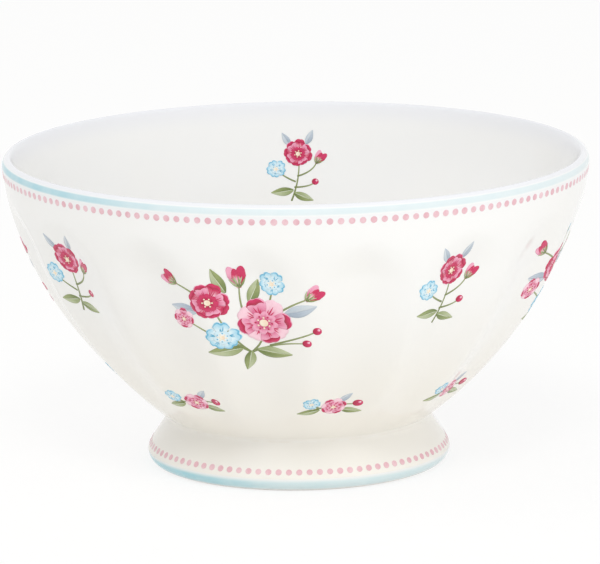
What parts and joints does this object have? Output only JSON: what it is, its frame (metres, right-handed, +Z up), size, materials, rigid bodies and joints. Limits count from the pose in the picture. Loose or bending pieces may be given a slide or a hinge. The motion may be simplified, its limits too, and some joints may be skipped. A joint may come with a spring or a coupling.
{
  "type": "footed breakfast bowl",
  "caption": "Handleless footed breakfast bowl in glazed porcelain: fluted outside, plain inside, pale-blue lip and foot bands, pink dot borders and scattered flower prints.",
  "frame": {"origin": "centre of the foot's resting face", "axes": "+Z up along the bowl's turning axis; -Y is the side seen in the picture; +X is the viewer's right"},
  "size_m": [0.1502, 0.1502, 0.0807],
  "materials": {
    "porcelain": "clear gloss glaze over white porcelain",
    "slip": "fired slip under the glaze",
    "blue_enamel": "gloss on-glaze enamel",
    "pink_print": "gloss on-glaze print",
    "flower_print": "gloss on-glaze print in pinks, blues and greens"
  },
  "bodies": {
    "root": {"bowl": "porcelain", "luting_slip": "slip", "foot_ring": "porcelain", "rim_band": "blue_enamel", "foot_band": "blue_enamel", "rim_dot_border": "pink_print", "foot_dot_border": "pink_print", "posy_1": "flower_print", "posy_2": "flower_print", "posy_3": "flower_print", "posy_4": "flower_print", "sprig_1": "flower_print", "sprig_2": "flower_print", "sprig_3": "flower_print", "sprig_4": "flower_print", "twig_1": "flower_print", "twig_2": "flower_print", "twig_3": "flower_print", "twig_4": "flower_print", "twig_5": "flower_print", "twig_6": "flower_print", "twig_7": "flower_print", "twig_8": "flower_print", "inside_sprig": "flower_print"}
  },
  "joints": []
}
